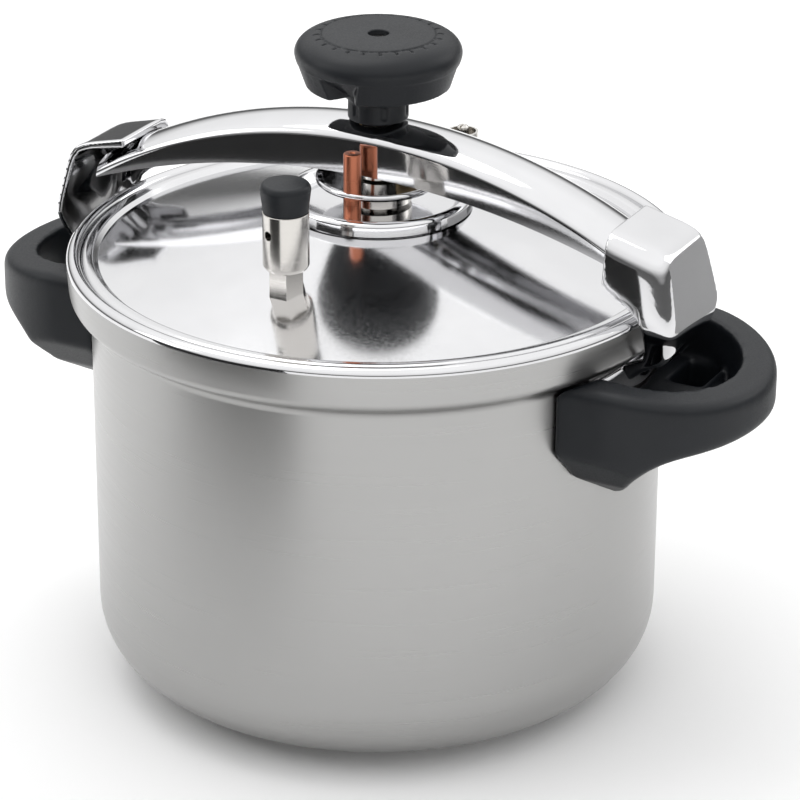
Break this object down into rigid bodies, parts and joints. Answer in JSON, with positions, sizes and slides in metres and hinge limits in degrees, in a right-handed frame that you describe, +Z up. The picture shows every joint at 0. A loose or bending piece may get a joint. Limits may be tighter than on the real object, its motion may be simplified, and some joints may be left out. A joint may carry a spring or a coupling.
{
  "type": "pressure canner",
  "caption": "Arch-type pressure canner: steel pot, lid clamped by a sprung arch under side lugs with a top screw knob, weight valve, safety valve and black side grips.",
  "frame": {"origin": "centre of the base's underside, where the pot stands", "axes": "+X along the arch towards the right-hand lug and grip, +Y to the back (the safety valve's side), +Z up along the pot's axis"},
  "size_m": [0.326, 0.2406, 0.2637],
  "materials": {
    "satin_steel": "satin stainless steel, polished rim band",
    "base_steel": "turned stainless base cap",
    "aluminium_core": "pressed aluminium disc",
    "polished_steel": "mirror-polished stainless steel",
    "machined_steel": "fine turned stainless steel",
    "spring_steel": "spring wire",
    "phenolic": "black moulded phenolic, soft satin",
    "gasket_rubber": "grey silicone",
    "seal_rubber": "black seal rubber",
    "copper": "copper-coloured plated pin",
    "bronze": "turned bronze"
  },
  "bodies": {
    "pot": {"pot_body": "satin_steel", "base_core": "aluminium_core", "base_cap": "base_steel", "lug_right": "polished_steel", "lug_left": "polished_steel", "handle_right": "phenolic", "handle_left": "phenolic", "handle_stud_right": "machined_steel", "handle_stud_left": "machined_steel", "handle_screw_right": "machined_steel", "handle_screw_left": "machined_steel"},
    "lid": {"lid_shell": "polished_steel", "gasket": "gasket_rubber", "hub_dish": "polished_steel", "hub_boss": "machined_steel", "pressure_plate": "polished_steel", "guide_pin": "copper", "valve_nozzle": "machined_steel", "valve_nut": "machined_steel", "valve_washer": "seal_rubber", "valve_backnut": "machined_steel", "safety_body": "machined_steel", "safety_nut": "machined_steel", "safety_washer": "seal_rubber"},
    "valve_weight": {"weight_body": "machined_steel", "weight_cap": "phenolic", "weight_needle": "machined_steel"},
    "safety_plunger": {"safety_stem": "machined_steel", "safety_spring": "spring_steel"},
    "arch": {"arch_bar": "polished_steel", "arch_nut": "bronze"},
    "knob": {"knob": "phenolic", "spindle": "machined_steel", "spindle_foot": "machined_steel", "knob_screw": "machined_steel"}
  },
  "joints": [
    {"name": "lid_turn", "type": "hinge", "parent": "pot", "child": "lid", "pos_m": [0, 0, 0.17], "axis": [0, 0, 1], "range_deg": [0, 90]},
    {"name": "knob_turn", "type": "hinge", "parent": "lid", "child": "knob", "pos_m": [0, 0, 0.2], "axis": [0, 0, 1], "range_deg": [0, 360]},
    {"name": "arch_drop", "type": "slide", "parent": "lid", "child": "arch", "axis": [0, 0, 1], "range_m": [-0.003, 0]},
    {"name": "valve_lift", "type": "slide", "parent": "lid", "child": "valve_weight", "axis": [0, 0, 1], "range_m": [0, 0.025]},
    {"name": "safety_stem_lift", "type": "slide", "parent": "lid", "child": "safety_plunger", "axis": [0, 0, 1], "range_m": [0, 0.002], "stiffness_N_per_m": 800, "springref_m": -0.002, "deforming": ["safety_spring"]}
  ],
  "couplings": [
    {"joint": "knob_turn", "follows": "arch_drop", "rad_per_m": -2094.4}
  ]
}
